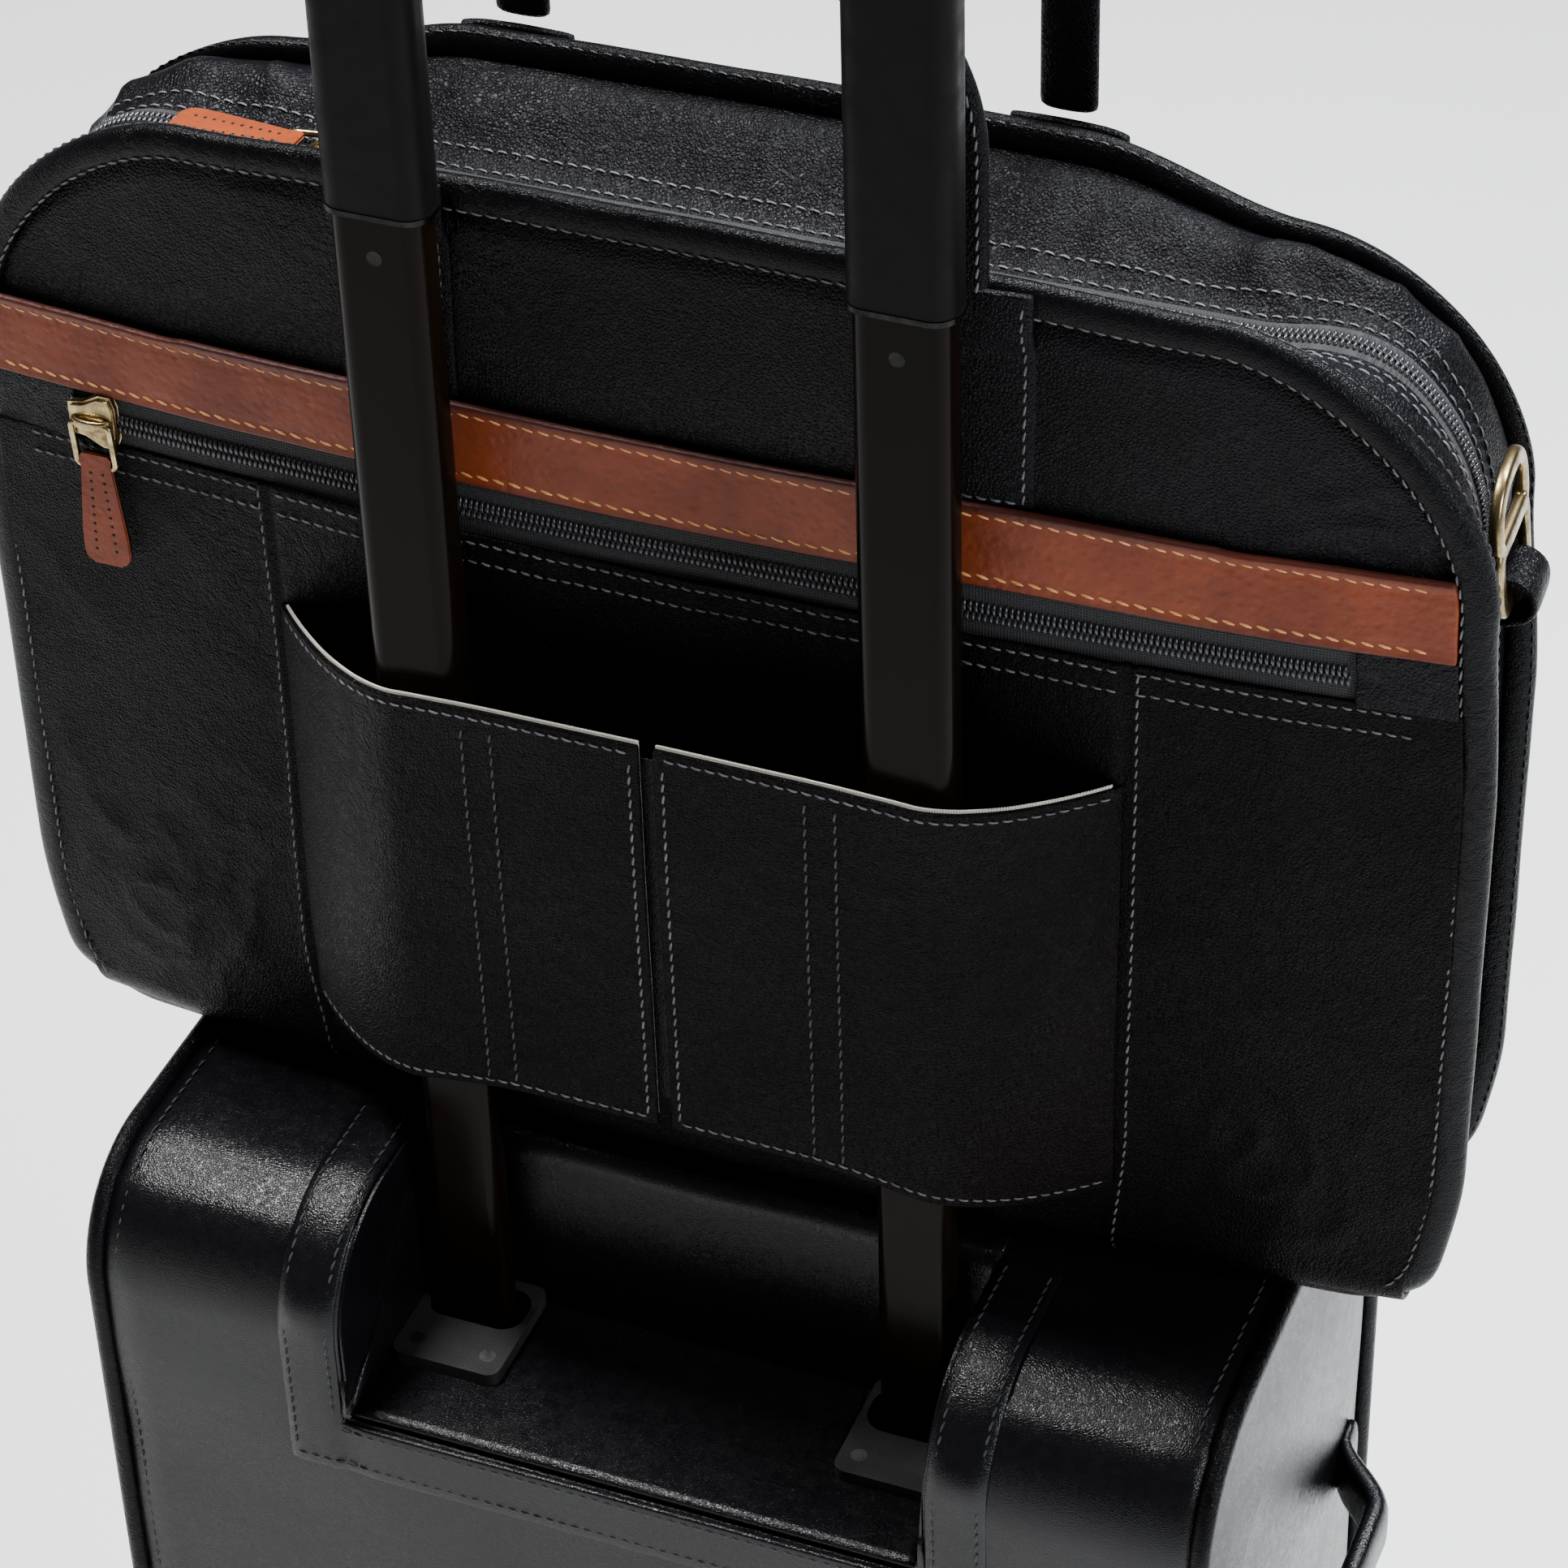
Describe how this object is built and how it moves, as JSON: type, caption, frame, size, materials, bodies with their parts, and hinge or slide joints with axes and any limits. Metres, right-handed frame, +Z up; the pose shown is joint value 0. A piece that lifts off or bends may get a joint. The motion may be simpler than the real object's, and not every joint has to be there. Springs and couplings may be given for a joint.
{
  "type": "rolling laptop case",
  "caption": "Wheeled leather case with a telescoping pull handle, and a zipped laptop bag that slides over the handle by a rear sleeve and rests on the case.",
  "frame": {"origin": "on the floor under the centre of the whole object's box", "axes": "+Z up, +X across the width, -Y towards the pull handle side"},
  "size_m": [0.46, 0.201, 0.969],
  "materials": {
    "bag_leather": "fine-grained black leather, satin",
    "case_leather": "smooth black leather, semi-gloss",
    "edge_leather": "black leather binding, satin",
    "tan_leather": "reddish tan leather, burnished edges",
    "tape": "black twill zip tape with nylon coil",
    "lining": "dark woven lining over board",
    "antique_brass": "aged brass, brushed",
    "gloss_tube": "gloss black over a brown undertone",
    "matt_tube": "fine matt dark grey",
    "black_plastic": "moulded, fine texture",
    "steel": "zinc plated",
    "tyre": "soft polyurethane",
    "hub": "moulded nylon",
    "rubber": "rubber foot"
  },
  "bodies": {
    "wheeled_case": {"case_shell": "case_leather", "case_end_right": "case_leather", "case_end_left": "case_leather", "case_piping": "edge_leather", "well_tray": "case_leather", "well_band": "case_leather", "tube_collars": "black_plastic", "collar_screws": "steel", "guide_tubes": "steel", "base_frame": "black_plastic", "case_divider": "lining", "case_pocket": "case_leather", "case_zip": "tape", "side_handle": "case_leather", "wheel_housings": "black_plastic", "axles": "steel", "feet": "rubber"},
    "right_wheel": {"hub_right": "hub", "tyre_right": "tyre"},
    "left_wheel": {"hub_left": "hub", "tyre_left": "tyre"},
    "lower_stage": {"lower_tubes": "gloss_tube"},
    "middle_stage": {"middle_tubes": "gloss_tube", "detent_pins": "steel"},
    "upper_stage": {"upper_tubes": "matt_tube", "ferrules": "steel", "grip": "black_plastic"},
    "release_button": {"button": "black_plastic", "push_rods": "steel"},
    "laptop_bag": {"back_panel": "bag_leather", "front_panel": "bag_leather", "binding_rear": "edge_leather", "binding_front": "edge_leather", "rear_pocket": "bag_leather", "accent_stripe": "tan_leather", "rear_zip": "tape", "front_pocket": "bag_leather", "front_pocket_zip": "tape", "gusset": "bag_leather", "top_band_rear": "bag_leather", "main_zip": "tape", "top_band_front": "bag_leather", "laptop_divider": "lining", "sleeve_right": "bag_leather", "sleeve_left": "bag_leather", "sleeve_bridge": "lining", "handle_straps": "bag_leather", "ring_tabs": "bag_leather"},
    "rear_grab": {"rear_handle": "bag_leather"},
    "front_grab": {"front_handle": "bag_leather"},
    "right_ring": {"ring_right": "antique_brass"},
    "left_ring": {"ring_left": "antique_brass"},
    "rear_zip_slider": {"rear_slider": "antique_brass"},
    "rear_zip_pull": {"rear_pull": "antique_brass"},
    "front_zip_slider": {"front_slider": "antique_brass"},
    "front_zip_pull": {"front_pull": "antique_brass"},
    "case_zip_slider": {"case_slider": "antique_brass"},
    "case_zip_pull": {"case_pull": "antique_brass"},
    "main_zip_slider": {"main_slider": "antique_brass"},
    "main_zip_pull": {"main_pull": "antique_brass"}
  },
  "joints": [
    {"name": "right_wheel_spin", "type": "hinge", "parent": "wheeled_case", "child": "right_wheel", "pos_m": [0.146, -0.072, 0.028], "axis": [1, 0, 0], "continuous": true},
    {"name": "left_wheel_spin", "type": "hinge", "parent": "wheeled_case", "child": "left_wheel", "pos_m": [-0.146, -0.072, 0.028], "axis": [1, 0, 0], "continuous": true},
    {"name": "lower_stage_slide", "type": "slide", "parent": "wheeled_case", "child": "lower_stage", "axis": [0, 0, -1], "range_m": [0, 0.205]},
    {"name": "middle_stage_slide", "type": "slide", "parent": "lower_stage", "child": "middle_stage", "axis": [0, 0, -1], "range_m": [0, 0.185]},
    {"name": "upper_stage_slide", "type": "slide", "parent": "middle_stage", "child": "upper_stage", "axis": [0, 0, -1], "range_m": [0, 0.205]},
    {"name": "release_button_press", "type": "slide", "parent": "upper_stage", "child": "release_button", "axis": [0, 0, -1], "range_m": [0, 0.003], "stiffness_N_per_m": 400, "springref_m": -0.004},
    {"name": "bag_lift_off", "type": "slide", "parent": "wheeled_case", "child": "laptop_bag", "axis": [0, 0, 1], "range_m": [0, 0.565]},
    {"name": "rear_handle_tilt", "type": "hinge", "parent": "laptop_bag", "child": "rear_grab", "pos_m": [0, -0.029, 0.712], "axis": [-1, 0, 0], "range_deg": [0, 50]},
    {"name": "front_handle_tilt", "type": "hinge", "parent": "laptop_bag", "child": "front_grab", "pos_m": [0, 0.065, 0.712], "axis": [-1, 0, 0], "range_deg": [0, 100]},
    {"name": "right_ring_tilt", "type": "hinge", "parent": "laptop_bag", "child": "right_ring", "pos_m": [0.2225, 0.016, 0.6205], "axis": [0, 1, 0], "range_deg": [0, 100]},
    {"name": "left_ring_tilt", "type": "hinge", "parent": "laptop_bag", "child": "left_ring", "pos_m": [-0.2225, 0.016, 0.6205], "axis": [0, -1, 0], "range_deg": [0, 100]},
    {"name": "rear_zip_run", "type": "slide", "parent": "laptop_bag", "child": "rear_zip_slider", "axis": [1, 0, 0], "range_m": [0, 0.37]},
    {"name": "rear_pull_tilt", "type": "hinge", "parent": "rear_zip_slider", "child": "rear_zip_pull", "pos_m": [-0.185, -0.032, 0.5984], "axis": [-1, 0, 0], "range_deg": [0, 150]},
    {"name": "front_zip_run", "type": "slide", "parent": "laptop_bag", "child": "front_zip_slider", "axis": [-1, 0, 0], "range_m": [0, 0.38]},
    {"name": "front_pull_tilt", "type": "hinge", "parent": "front_zip_slider", "child": "front_zip_pull", "pos_m": [0.19, 0.068, 0.4321], "axis": [1, 0, 0], "range_deg": [0, 150]},
    {"name": "case_zip_run", "type": "slide", "parent": "wheeled_case", "child": "case_zip_slider", "axis": [1, 0, 0], "range_m": [0, 0.3]},
    {"name": "case_pull_tilt", "type": "hinge", "parent": "case_zip_slider", "child": "case_zip_pull", "pos_m": [-0.15, 0.0996, 0.3169], "axis": [1, 0, 0], "range_deg": [0, 150]},
    {"name": "main_zip_run", "type": "slide", "parent": "laptop_bag", "child": "main_zip_slider", "axis": [1, 0, 0], "range_m": [0, 0.24]},
    {"name": "main_pull_tilt", "type": "hinge", "parent": "main_zip_slider", "child": "main_zip_pull", "pos_m": [-0.1266, 0.016, 0.6998], "axis": [0, 1, 0], "range_deg": [0, 150]}
  ]
}
